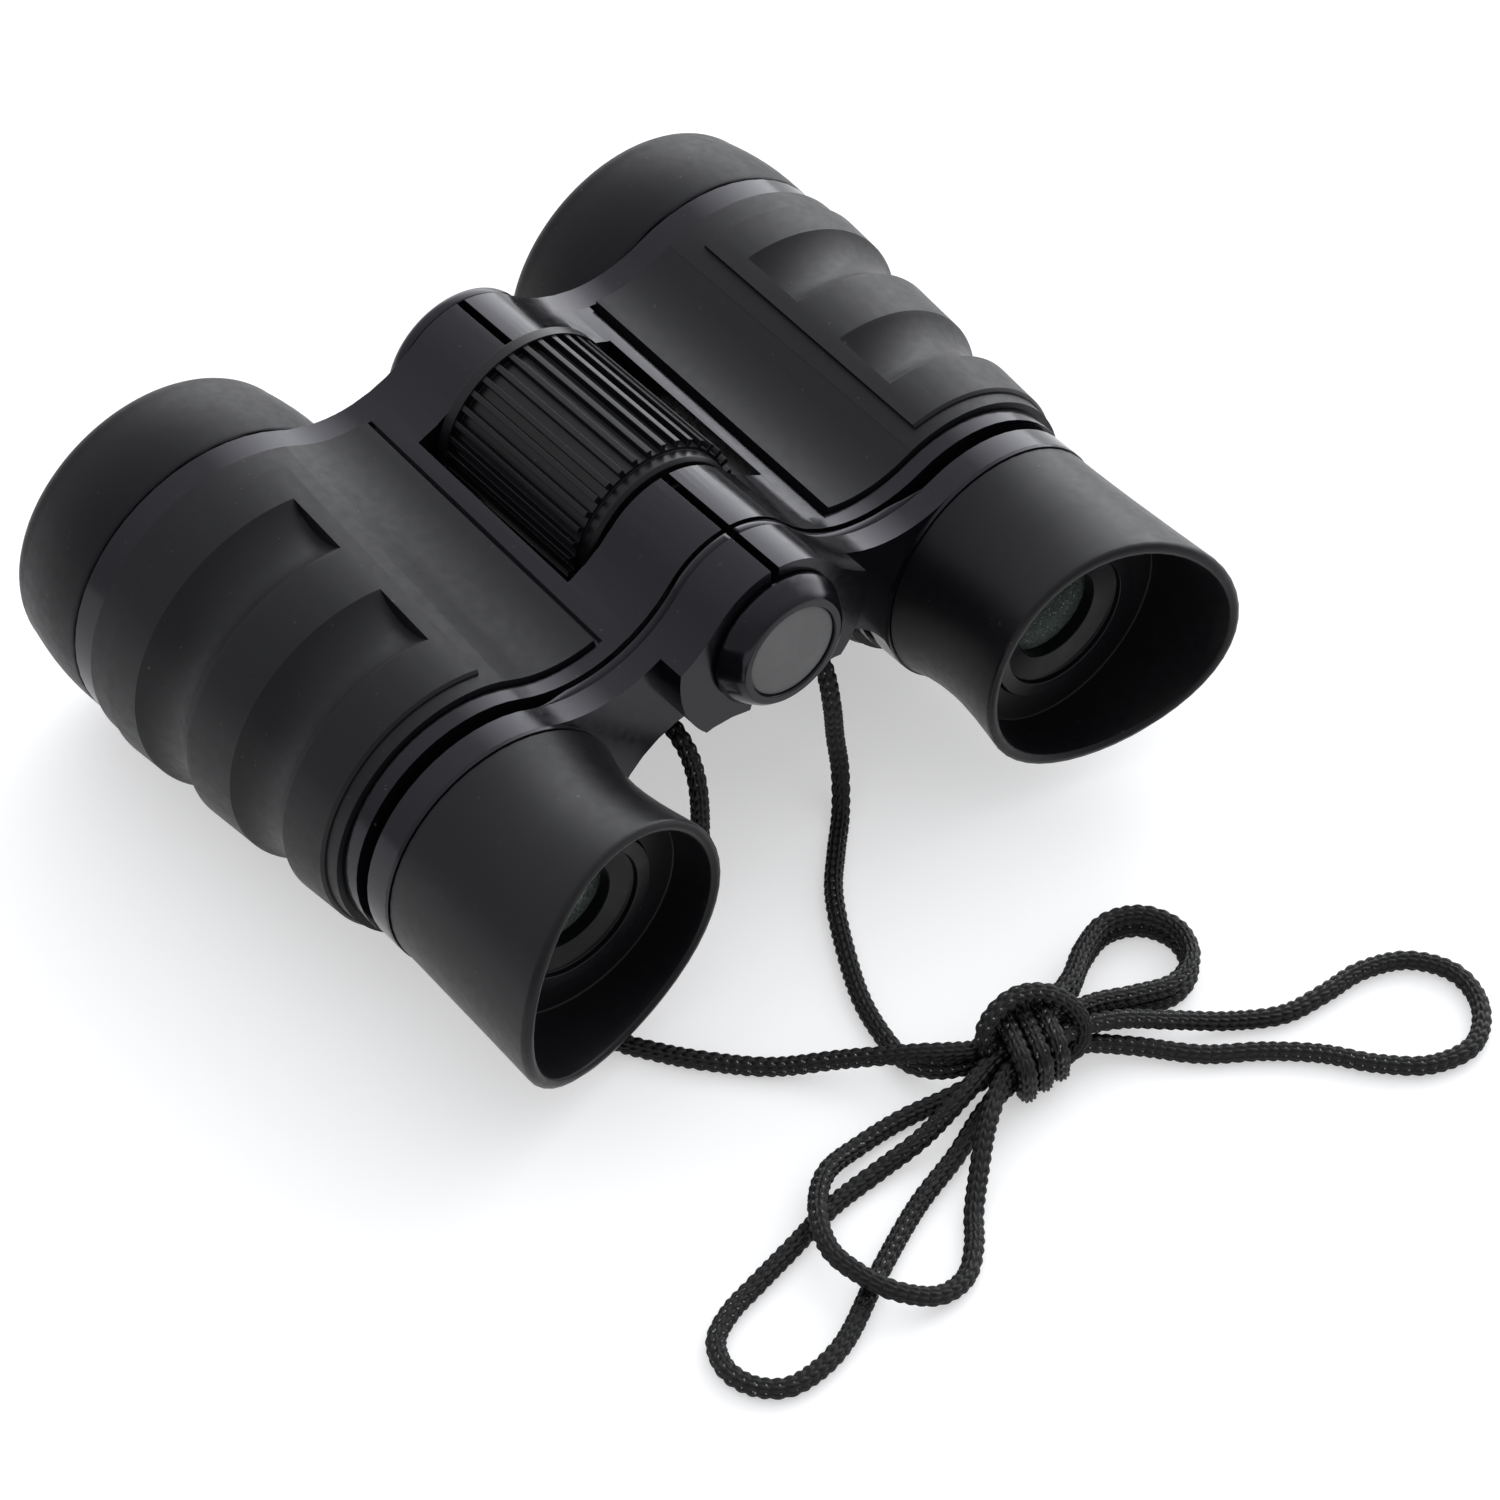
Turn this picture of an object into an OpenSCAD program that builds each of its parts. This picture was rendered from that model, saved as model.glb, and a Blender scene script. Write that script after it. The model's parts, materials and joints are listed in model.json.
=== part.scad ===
// Toy binoculars: two tapered barrels on a centre hinge, a focus wheel that draws the
// eyepiece bridge in and out, soft winged eyecups, grip armour and a knotted neck cord.
// Millimetres. +X is the user's right, +Y the way the barrels look, +Z up.

/* [Barrels] */
// Distance between the two barrel axes
eye_spacing = 62.8; // [60:0.2:66]
// Drop of the barrel axes below the hinge axis
axis_drop = 11.4; // [10:0.1:12.6]
// Length of a body shell from rear edge to front edge
body_len = 43.1; // [40:0.1:48]
// Shell radius at the rear edge
shell_rear_r = 14.3; // [13.8:0.1:15]
// Shell radius at the front edge
shell_front_r = 18; // [17.4:0.1:19]
// Wall of a shell along the barrel
shell_wall = 1.8; // [1.4:0.1:2.2]

/* [Hinge] */
// Radius of the hinge lugs
lug_r = 9; // [8.6:0.1:9.6]
// Length of the rear hinge lug
rear_lug_len = 9.5; // [8:0.1:11]
// Length of the front hinge lug
front_lug_len = 8.9; // [8:0.1:11]
// Wall of the half-round cover over the knuckles
cover_wall = 2; // [1.6:0.1:2.4]
// Radius of the hinge pin and of the focus rod
pin_r = 3; // [2.4:0.1:3.4]
// Gap between the two halves along the top of the hinge
top_gap = 1; // [0.6:0.1:1.4]
// Radius of the hollow between a lug and a barrel, seen from above
valley_r = 15; // [13:0.5:18]
// Radius of the arch under the web
arch_r = 12; // [10:0.5:14]
// Angle below level at which each half ends under the hinge, so that the halves can fold
fold_angle = 70; // [60:1:72]
// Thickness of a strap tab
tab_t = 3; // [2:0.1:4]
// Radius of a strap tab round its hole
tab_r = 2.6; // [2.2:0.1:3.2]

/* [Grip armour] */
// Bare band of shell behind the armour
rear_band = 1.85; // [1.2:0.05:3]
// Bare band of shell in front of the armour
front_band = 3.2; // [2:0.1:4.4]
// Depth of the recess that the armour lies in
inlay_depth = 0.7; // [0.5:0.05:1]
// Height of the armour above the bare bands
skin_rise = 0.65; // [0.3:0.05:1]
// Height of the grip pad above the armour
pad_rise = 0.5; // [0.2:0.05:0.8]
// Armour left bare behind the pad
pad_rear_inset = 1.75; // [1:0.05:3]
// Armour left bare in front of the pad
pad_front_inset = 3.2; // [2:0.1:5]
// Angle of the pad's inner edge above the outer side
pad_edge_angle = 104.5; // [100:0.5:108]
// Angle at which the finger grooves end
groove_end_angle = 98; // [90:0.5:99]
// Finger grooves in each pad
groove_count = 2; // [1:1:2]
// Middle of the rear groove, ahead of the shell's rear edge
groove_first_y = 13; // [11:0.1:15]
// Distance from one groove to the next
groove_pitch = 14.6; // [11:0.1:16]
// Width of a groove
groove_w = 8; // [6:0.1:9]
// Depth of a groove
groove_depth = 1.45; // [0.8:0.05:1.6]

/* [Objective end] */
// Length of a hood in front of the shell
hood_len = 12.8; // [9:0.1:18]
// Narrowing of a hood from its base to its front rim
hood_taper = 0.6; // [0:0.1:1.2]
// Rounding of the hood's front rim
hood_round = 2.2; // [1:0.1:2.4]
// Wall of a hood at its front rim
hood_wall = 2.8; // [2.4:0.1:3.2]
// How far an objective lens reaches past the hood's bore
lens_lap = 0.6; // [0.4:0.1:1]
// Edge thickness of an objective lens
objective_edge = 1.8; // [1.2:0.1:2.4]
// Bulge of an objective lens on each side
objective_bulge = 1; // [0.6:0.1:1.4]
// Length of the ring that holds an objective lens
lens_ring_len = 1.3; // [0.8:0.1:1.8]
// Length of the hood's spigot inside the shell
spigot_len = 2.5; // [1.6:0.1:3]

/* [Eyepieces] */
// Gap between the body and the eyepiece bridge with the focus drawn in
seam_gap = 1.5; // [1:0.1:2.5]
// Step from a shell's rear edge down to the bridge rings
bridge_step = 0.2; // [0:0.05:0.6]
// Length of a bridge ring
bridge_ring_len = 3.3; // [2.4:0.1:4.5]
// Thickness of the bridge web
bridge_web_t = 2.9; // [2:0.1:4]
// Length of the bridge's middle boss
boss_len = 6.1; // [5.4:0.1:8]
// Radius of the cheeks beside the boss
cheek_r = 11.8; // [11:0.1:12.6]
// Wall of a shell round the draw tube
guide_wall = 3.3; // [2.8:0.1:3.8]
// Wall of a draw tube
tube_wall = 1.85; // [1.4:0.05:2.2]
// Reach of a draw tube into the shell
tube_reach = 16; // [14:0.5:22]
// Length of the guide that a draw tube slides in
guide_len = 8; // [5:0.5:10]
// Step from a bridge ring down to the eyecup
cup_step = 0.2; // [0:0.05:0.6]
// Flare of an eyecup from its base to its rim
cup_flare = 0.5; // [0:0.1:1]
// Length of an eyecup on its nose side
cup_len = 15.9; // [14:0.1:19]
// How much further the eyecup reaches on its outer side
cup_wing = 6.2; // [0:0.1:8]
// Wall of an eyecup at its rim
cup_wall = 1.5; // [1.1:0.1:1.9]
// Waist of an eyecup on its nose side
cup_waist = 1.2; // [0:0.1:1.3]
// Depth of an eyecup's hollow on its nose side
cup_hollow = 5.2; // [4.4:0.1:6]
// Thickness of the eyecup's floor over the draw tube
cup_floor = 0.8; // [0.6:0.1:1.2]
// Wall of the cell round an eye lens
cell_wall = 2.6; // [2:0.1:3]
// Width of the ledge that an eye lens rests on
lens_ledge = 1.45; // [1:0.05:2]
// Edge thickness of an eye lens
eye_lens_t = 2; // [1.4:0.1:2.6]

/* [Focus drive] */
// Radius of the focus wheel over its ribs
wheel_r = 10.5; // [9.6:0.1:10.8]
// Ribs round the wheel
rib_count = 36; // [24:1:44]
// Width of a rib
rib_w = 0.65; // [0.4:0.05:0.9]
// Height of a rib
rib_h = 0.8; // [0.4:0.05:1]
// Height of the flange above the ribs
flange_rise = 0.2; // [0.1:0.05:0.4]
// Length of the plain collar behind the ribs
collar_len = 1.6; // [0.8:0.1:2]
// Radius of the collar
collar_r = 9.3; // [8:0.1:9.5]
// Length of the plain flange in front of the ribs
flange_len = 1.3; // [0.4:0.1:1.6]
// Room beside the wheel in its slot
slot_side = 1.8; // [1.2:0.1:2.2]
// Shell left between the slot and the armour
slot_rim = 1.7; // [1:0.1:2.4]
// Thickness of a thrust washer
washer_t = 0.5; // [0.3:0.05:0.8]
// Reach of the hinge pin into the wheel
pin_in_wheel = 6; // [4:0.5:8]
// Space between the hinge pin and the focus rod inside the wheel
rod_pin_gap = 3; // [1:0.5:5]
// Length of the rear cap
cap_len = 2.8; // [2.4:0.1:4]
// Radius of the rear cap at its base
cap_base_r = 7.6; // [7:0.1:8.2]
// Radius of the rear cap's outer face
cap_face_r = 6.1; // [5.8:0.1:6.6]
// Radius of the grey disc in the rear cap
cap_disc_r = 5.2; // [4.6:0.05:5.4]
// Thickness of the grey disc
cap_disc_t = 0.7; // [0.5:0.05:0.9]
// Step from the lug down to the front cap
front_cap_step = 0.1; // [0:0.05:1]
// Length of the front cap
front_cap_len = 1.8; // [1.2:0.1:2.4]

/* [Neck cord] */
// Diameter of the cord
cord_d = 1.5; // [1.3:0.05:1.55]
// Turns of the knot round the loops
knot_turns = 3; // [2:1:3]
// Distance from one turn of the knot to the next
knot_pitch = 2.05; // [2:0.05:2.4]
// Half width of the knot's turns, to the middle of the cord
knot_half_y = 3.7; // [3.6:0.1:4.2]
// Half height of the knot's turns, to the middle of the cord
knot_half_z = 2.7; // [2.6:0.1:2.8]
// Lean of the knot's turns along the loops
knot_lean = 0.5; // [0:0.1:0.8]
// Radius of a stop knot at a strap tab
stop_knot_r = 1.6; // [1.2:0.1:2]

/* [Fits] */
// Radial clearance of a pin, rod or tube that slides or turns
run_clear = 0.05; // [0.03:0.01:0.1]
// Clearance of a piece that is pushed or glued in place
seat_clear = 0.05; // [0.02:0.01:0.1]
// Gap between the armour and the shell under it
skin_gap = 0.1; // [0.08:0.01:0.2]
// Seam round the armour and behind the hoods
seam_w = 0.2; // [0.1:0.05:0.4]
// Wider seam along the armour's inner edge
inlay_seam = 0.7; // [0.2:0.1:1]
// Gap between knuckles along the hinge
knuckle_gap = 0.3; // [0.2:0.05:0.5]
// Gap between a knuckle and the cover round it
cover_gap = 0.5; // [0.3:0.05:0.7]
// Gap at each side of a thrust washer
thrust_gap = 0.15; // [0.1:0.05:0.3]
// Room round the cord in its strap tab
cord_gap = 0.2; // [0.15:0.05:0.4]

/* [Hidden] */
$fn = 72;

LEFT = -1;
RIGHT = 1;
EPS = 0.01;

// Colours of the finishes
gloss_black = [0.06, 0.06, 0.07];
soft_black = [0.1, 0.1, 0.11];
satin_black = [0.08, 0.08, 0.09];
disc_grey = [0.2, 0.2, 0.21];
lens_glass = [0.55, 0.65, 0.62, 0.5];
steel = [0.6, 0.6, 0.62];
cord_black = [0.07, 0.07, 0.07];

// Places along the barrels, counted from the rear edge of the shells
axis_x = eye_spacing / 2;
barrel_axis = [axis_x, -axis_drop];
slot_y0 = rear_lug_len;
slot_y1 = body_len - front_lug_len;
slot_half = wheel_r + slot_side;
inlay_x = slot_half + slot_rim;
armour_y0 = rear_band;
armour_y1 = body_len - front_band;
pad_y0 = armour_y0 + pad_rear_inset;
pad_y1 = armour_y1 - pad_front_inset;
bridge_y = -seam_gap;
ring_y = bridge_y - bridge_ring_len;
web_y = bridge_y - bridge_web_t;
boss_y = bridge_y - boss_len;
cup_floor_y = ring_y - cup_len + cup_hollow;
tube_y = cup_floor_y + cup_floor;
wheel_y0 = slot_y0 + washer_t + 2 * thrust_gap;
wheel_y1 = slot_y1 - washer_t - 2 * thrust_gap;
pin_y0 = wheel_y1 - pin_in_wheel;
rod_y1 = pin_y0 - rod_pin_gap;
cap_y = boss_y - thrust_gap;

// Sizes that follow from the ones above
tube_r = shell_rear_r - guide_wall;
bridge_r = shell_rear_r - bridge_step;
cup_base_r = bridge_r - cup_step;
cup_rim_r = cup_base_r + cup_flare;
hood_rim_r = shell_front_r - hood_taper;
hood_bore_r = hood_rim_r - hood_wall;
objective_r = hood_bore_r + lens_lap;
front_cap_r = lug_r - front_cap_step;
cover_in = lug_r - cover_wall;
knuckle_r = cover_in - cover_gap;
bore_r = pin_r + run_clear;
end_inset = 0.1;
lens_rim = 1.7;
lens_seat_r = objective_r - lens_rim + 2 * seat_clear;
lens_bore_r = objective_r + run_clear;
lens_seat_t = 1;
lens_y = body_len - spigot_len - lens_ring_len - objective_edge;
skin_t = inlay_depth - skin_gap + skin_rise;
groove_r = (groove_w * groove_w / 4 + groove_depth * groove_depth) / (2 * groove_depth);
cell_r = tube_r - tube_wall - seat_clear;
eye_lens_r = cell_r - cell_wall;
eye_hole_r = eye_lens_r - lens_ledge;
cell_len = 8;
cell_proud = 0.5;
cell_lip = 1.5;
cell_rim = 1.6;
eye_bevel = 1.3;

// Where the object stands: its middle over the origin, its lowest edge on the floor
front_reach = body_len + hood_len;
rear_reach = ring_y - cup_len - cup_wing;
middle_y = (front_reach + rear_reach) / 2;
hinge_z = axis_drop + shell_r(pad_y1) + skin_rise + pad_rise;

// Outer radius of the shell at a place along the barrel
function shell_r(y) = shell_rear_r + (shell_front_r - shell_rear_r) * y / body_len;

// Points of an arc, both ends included, or with the first left out
function arc(c, r, a0, a1, n, from = 0) =
  [for (i = [from:n]) let (a = a0 + (a1 - a0) * i / n) [c[0] + r * cos(a), c[1] + r * sin(a)]];

// Centre of the circle of radius r that touches the lug and a barrel of radius big,
// above the web (up = 1) or below it (up = -1)
function web_centre(big, r, up) =
  let (
    d = norm(barrel_axis),
    near = lug_r + r,
    far = big + r,
    along = (d * d + near * near - far * far) / (2 * d),
    across = sqrt(near * near - along * along),
    u = barrel_axis / d
  )
  along * u + up * across * [-u[1], u[0]];

// Outline of the right half across the barrels: lug, hollow, barrel, arch and hinge cover.
// The armour's recess, sunk by the given depth, starts at the inlay edge.
function half_outline(big, sunk) =
  let (
    top = web_centre(big, valley_r, 1),
    low = web_centre(big - sunk, arch_r, -1),
    lug_top = 90 - asin(top_gap / 2 / lug_r),
    cover_top = 90 - asin(top_gap / 2 / cover_in),
    lug_side = atan2(top[1], top[0]),
    ray = [cos(fold_angle), -sin(fold_angle)],
    reach = ray * low,
    end = (reach - sqrt(reach * reach - low * low + arch_r * arch_r)) * ray - low,
    arch_end = atan2(end[1], end[0]),
    inlay = 360 - acos((inlay_x - top[0]) / valley_r),
    barrel_top = atan2(top[1] + axis_drop, top[0] - axis_x),
    barrel_low = atan2(low[1] + axis_drop, low[0] - axis_x)
  )
  concat(
    arc([0, 0], lug_r, lug_top, lug_side, 8),
    arc(top, valley_r, lug_side + 180, inlay, 4, 1),
    arc(top, valley_r + sunk, inlay, barrel_top + 180, 8),
    arc(barrel_axis, big - sunk, barrel_top, barrel_low, 40, 1),
    arc(low, arch_r, barrel_low + 180, arch_end, 8, 1),
    arc([0, 0], cover_in, -fold_angle, cover_top, 12)
  );

// More than 0 where the way from a over b to c turns clockwise
function turn(a, b, c) = (b[1] - a[1]) * (c[0] - a[0]) - (b[0] - a[0]) * (c[1] - a[1]);

// Whether a corner of an outline can be cut off as a triangle with no other corner in it
function is_ear(outline, left, i) =
  let (
    n = len(left),
    a = outline[left[(i + n - 1) % n]],
    b = outline[left[i]],
    c = outline[left[(i + 1) % n]]
  )
  turn(a, b, c) > 0 && [
    for (k = left)
      let (p = outline[k])
      if (p != a && p != b && p != c && min(turn(a, b, p), turn(b, c, p), turn(c, a, p)) >= 0) k
  ] == [];

function next_ear(outline, left, i) =
  i == len(left) - 1 || is_ear(outline, left, i) ? i : next_ear(outline, left, i + 1);

// Triangles that fill a clockwise outline, cut off corner by corner
function triangles(outline, left) =
  len(left) == 3
    ? [left]
    : let (n = len(left), i = next_ear(outline, left, 0))
      concat(
        [[left[(i + n - 1) % n], left[i], left[(i + 1) % n]]],
        triangles(outline, [for (k = [0:n - 1]) if (k != i) left[k]])
      );

// A solid skinned over outlines across the barrels, at places along them
module loft(outlines, places) {
  last = len(outlines) - 1;
  corners = [for (i = [0:len(outlines[0]) - 1]) i];
  skin(
    [for (k = [0:last]) [for (p = outlines[k]) [p[0], places[k], p[1]]]],
    triangles(outlines[0], corners),
    triangles(outlines[last], corners)
  );
}

// A solid skinned over rings of points that have the same count. The first and last ring
// are filled with the triangles given, or as one face where the ring bulges all round.
module skin(rings, near_triangles = [], far_triangles = []) {
  n = len(rings[0]);
  last = len(rings) - 1;
  points = [for (ring = rings) for (p = ring) p];
  sides = [
    for (k = [0:last - 1]) for (i = [0:n - 1])
      let (j = (i + 1) % n, a = k * n + i, b = a + n, c = (k + 1) * n + j, d = k * n + j)
      each [[a, b, c], [a, c, d]]
  ];
  ring = [[for (i = [0:n - 1]) i]];
  near_end = near_triangles == [] ? ring : near_triangles;
  far_end = [
    for (face = far_triangles == [] ? ring : far_triangles)
      [for (i = [len(face) - 1:-1:0]) last * n + face[i]]
  ];
  polyhedron(points, concat(near_end, sides, far_end), convexity = 8);
}

// Turns a shape drawn along +Z to lie along +Y
module along_y() rotate([-90, 0, 0]) children();

// Draws a right-hand shape on either side
module on_side(side) mirror([side == LEFT ? 1 : 0, 0, 0]) children();

// Moves the object from the hinge to its place on the floor
module standing() translate([0, -middle_y, hinge_z]) children();

// Places a shape on the right barrel's axis
module on_barrel() translate([axis_x, 0, -axis_drop]) along_y() children();

// Part of a turned shape between two angles, counted from the outer side upwards
module turned(a0 = 0, a1 = 360) rotate([0, 0, -a1]) rotate_extrude(angle = a1 - a0) children();

// One half's knuckle in the part of a lug from y0 to y1, tied to the half's own cover
module knuckle(y0, y1) {
  link_margin = 10;
  inset = 0.3;
  translate([0, y0, 0]) along_y() {
    cylinder(r = knuckle_r, h = y1 - y0);
    turned(link_margin - fold_angle, 90 - link_margin)
      translate([knuckle_r - cover_gap, inset])
      square([2 * cover_gap + cover_wall / 2, y1 - y0 - 2 * inset]);
  }
}

// The two halves share a lug end to end: the left one has the rear part of it
module lug_knuckle(side, y0, y1) {
  mid = (y0 + y1) / 2;
  if (side == LEFT) knuckle(y0 + end_inset, mid - knuckle_gap / 2);
  else knuckle(mid + knuckle_gap / 2, y1 - end_inset);
}

module hinge_bore(y0, y1) translate([0, y0, 0]) along_y() cylinder(r = bore_r, h = y1 - y0);

// Strap tab under the web, with its hole along the barrels
tab_x = 9.2;
tab_y = 0.3;
tab_drop = 2.4;
arch_top_z = web_centre(shell_rear_r, arch_r, -1)[1] + arch_r;
tab_z = arch_top_z - tab_drop;
tab_bite = 1;
tab_neck = 2 * tab_r - 0.8;
tab_inset = 0.2;
tab_hole_r = cord_d / 2 + cord_gap;

module strap_tab() {
  translate([tab_x, tab_y, tab_z]) along_y() cylinder(r = tab_r, h = tab_t);
  translate([tab_x - tab_neck / 2, tab_y + tab_inset, tab_z])
    cube([tab_neck, tab_t - 2 * tab_inset, tab_drop + tab_bite]);
}

module strap_hole() translate([tab_x, tab_y - 1, tab_z]) along_y() cylinder(r = tab_hole_r, h = tab_t + 2);

// The hollow inside a shell: draw tube guide, tapered room, lens seat and lens bore
module shell_hollow() {
  room_y1 = lens_y - lens_seat_t;
  on_barrel() rotate_extrude() polygon([
    [0, -1],
    [tube_r + run_clear, -1],
    [tube_r + run_clear, guide_len],
    [shell_r(guide_len) - inlay_depth - shell_wall, guide_len],
    [shell_r(room_y1) - inlay_depth - shell_wall, room_y1],
    [lens_seat_r, room_y1],
    [lens_seat_r, lens_y],
    [lens_bore_r, lens_y],
    [lens_bore_r, body_len + 1],
    [0, body_len + 1]
  ]);
}

// Shell of one half: barrel, web, hinge lugs and strap tab
module body_shell(side) {
  ramp = 0.05;
  flush = 0.02;
  stations = [
    [0, flush],
    [armour_y0 - ramp, flush],
    [armour_y0, inlay_depth],
    [armour_y1, inlay_depth],
    [armour_y1 + ramp, flush],
    [body_len, flush]
  ];
  color(gloss_black) standing() on_side(side) difference() {
    union() {
      difference() {
        loft([for (s = stations) half_outline(shell_r(s[0]), s[1])], [for (s = stations) s[0]]);
        translate([-slot_half, slot_y0, -2 * lug_r]) cube([2 * slot_half, slot_y1 - slot_y0, 4 * lug_r]);
      }
      lug_knuckle(side, 0, slot_y0);
      lug_knuckle(side, slot_y1, body_len);
      strap_tab();
    }
    shell_hollow();
    strap_hole();
    hinge_bore(-1, body_len + 1);
  }
}

// Armour across the hollow beside the hinge, ending inside the turned armour on the barrel
armour_low_angle = -150;
armour_top_angle = 112;

module armour_valley() {
  hidden = 0.03;
  tongue = 3;
  edge = inlay_x + inlay_seam;
  y0 = armour_y0 + seam_w;
  y1 = armour_y1 - seam_w;
  function outline(y) =
    let (
      big = shell_r(y),
      top = web_centre(big, valley_r, 1),
      inner = valley_r + inlay_depth - skin_gap,
      outer = valley_r - skin_rise + hidden,
      start = 360 - acos((edge - top[0]) / valley_r),
      finish = atan2(top[1] + axis_drop, top[0] - axis_x),
      base_r = big - inlay_depth + skin_gap + hidden,
      top_r = big + skin_rise - hidden,
      mid_r = (base_r + top_r) / 2
    )
    concat(
      arc(top, outer, start, finish + 180, 9),
      arc(barrel_axis, top_r, finish, armour_top_angle, 1, 1),
      [barrel_axis + mid_r * [cos(armour_top_angle - tongue), sin(armour_top_angle - tongue)]],
      arc(barrel_axis, base_r, armour_top_angle, finish, 1),
      arc(top, inner - hidden, finish + 180, start, 9, 1)
    );
  places = [y0, (y0 + y1) / 2, y1];
  loft([for (y = places) outline(y)], places);
}

// Profile of the grip pad along a barrel, with its finger grooves
module pad_profile() {
  bevel = 0.3;
  low = -inlay_depth + skin_gap;
  high = skin_rise + pad_rise;
  polygon([
    [shell_r(pad_y0) + low, pad_y0],
    [shell_r(pad_y0) + high - bevel, pad_y0],
    [shell_r(pad_y0) + high, pad_y0 + bevel],
    [shell_r(pad_y1) + high, pad_y1 - bevel],
    [shell_r(pad_y1) + high - bevel, pad_y1],
    [shell_r(pad_y1) + low, pad_y1]
  ]);
}

module groove_cuts() {
  for (i = [0:groove_count - 1]) {
    y = groove_first_y + i * groove_pitch;
    translate([shell_r(y) + skin_rise + pad_rise + groove_r - groove_depth, y]) circle(r = groove_r);
  }
}

module skin_profile() {
  y0 = armour_y0 + seam_w;
  y1 = armour_y1 - seam_w;
  low = -inlay_depth + skin_gap;
  polygon([
    [shell_r(y0) + low, y0],
    [shell_r(y0) + skin_rise, y0],
    [shell_r(y1) + skin_rise, y1],
    [shell_r(y1) + low, y1]
  ]);
}

// Soft armour of one half with its raised pad and finger grooves
module grip_armour(side) {
  pad_margin = pad_edge_angle - groove_end_angle;
  pad_low_angle = armour_low_angle + pad_margin;
  color(soft_black) standing() on_side(side) {
    on_barrel() {
      difference() {
        union() {
          turned(armour_low_angle, armour_top_angle) skin_profile();
          turned(pad_low_angle, pad_edge_angle) pad_profile();
        }
        turned(pad_low_angle + pad_margin, groove_end_angle) groove_cuts();
      }
    }
    armour_valley();
  }
}

// Hood in front of a barrel, with the spigot that holds the objective lens
module hood(side) {
  spigot_r = objective_r - seat_clear;
  spigot_bore_r = hood_bore_r - 1;
  step_y = body_len + 1.5;
  base_y = body_len + seam_w;
  swell = 0.25;
  color(soft_black) standing() on_side(side) on_barrel() difference() {
    rotate_extrude() difference() {
      union() {
        polygon(concat(
          [[0, base_y], [shell_front_r - seam_w, base_y]],
          [for (t = [0:0.125:1]) [
            shell_front_r + (hood_rim_r - shell_front_r) * t * t + swell * sin(180 * t),
            base_y + seam_w + (hood_len - 2 * seam_w - hood_round) * t
          ]],
          arc([hood_rim_r - hood_round, front_reach - hood_round], hood_round, 0, 90, 8, 1),
          [[0, front_reach]]
        ));
        translate([0, body_len - spigot_len]) square([spigot_r, spigot_len + seam_w + EPS]);
      }
      translate([-1, step_y]) square([hood_bore_r + 1, hood_len]);
    }
    translate([0, 0, body_len - spigot_len - 1]) cylinder(r = spigot_bore_r, h = spigot_len + 4);
  }
}

// A lens with the same bulge (or hollow, when negative) on both faces, inside a flat rim
module lens(r, rim, edge, bulge) {
  depth = abs(bulge);
  reach = r - rim;
  curve_r = (reach * reach + depth * depth) / (2 * depth);
  sweep = asin(reach / curve_r);
  way = sign(bulge);
  rear = arc([0, way * (curve_r - depth)], curve_r, -way * 90, -way * (90 - sweep), 8);
  front = arc([0, edge - way * (curve_r - depth)], curve_r, way * (90 - sweep), way * 90, 8);
  rotate_extrude() polygon(concat(rear, [[r, 0], [r, edge]], front));
}

module objective_lens(side) color(lens_glass) standing() on_side(side) on_barrel()
  translate([0, 0, lens_y]) lens(objective_r, lens_rim, objective_edge, objective_bulge);

// Ring between an objective lens and its hood's spigot
module lens_ring(side) {
  ring_y0 = lens_y + objective_edge;
  color(satin_black) standing() on_side(side) on_barrel() translate([0, 0, ring_y0]) difference() {
    cylinder(r = objective_r - seat_clear, h = lens_ring_len);
    translate([0, 0, -1]) cylinder(r = lens_seat_r, h = lens_ring_len + 2);
  }
}

// One half of the eyepiece bridge: ring, web and its share of the middle boss
module eyepiece_bridge(side) {
  module web_outline() polygon(half_outline(bridge_r, 0.02));
  color(gloss_black) standing() on_side(side) difference() {
    union() {
      translate([0, bridge_y, 0]) rotate([90, 0, 0]) linear_extrude(bridge_web_t) web_outline();
      translate([0, web_y, 0]) rotate([90, 0, 0]) linear_extrude(boss_len - bridge_web_t) intersection() {
        web_outline();
        circle(r = cheek_r);
      }
      on_barrel() translate([0, 0, ring_y]) cylinder(r = bridge_r - seat_clear, h = bridge_ring_len);
      lug_knuckle(side, boss_y, bridge_y);
    }
    on_barrel() translate([0, 0, ring_y - 1]) cylinder(r = tube_r + seat_clear, h = bridge_ring_len + 2);
    hinge_bore(boss_y - 1, bridge_y + 1);
  }
}

// Tube that carries an eyepiece and slides in the shell's guide
module draw_tube(side) color(gloss_black) standing() on_side(side) on_barrel()
  translate([0, 0, tube_y]) difference() {
    cylinder(r = tube_r, h = tube_reach - tube_y);
    translate([0, 0, -1]) cylinder(r = tube_r - tube_wall, h = tube_reach - tube_y + 2);
  }

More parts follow.
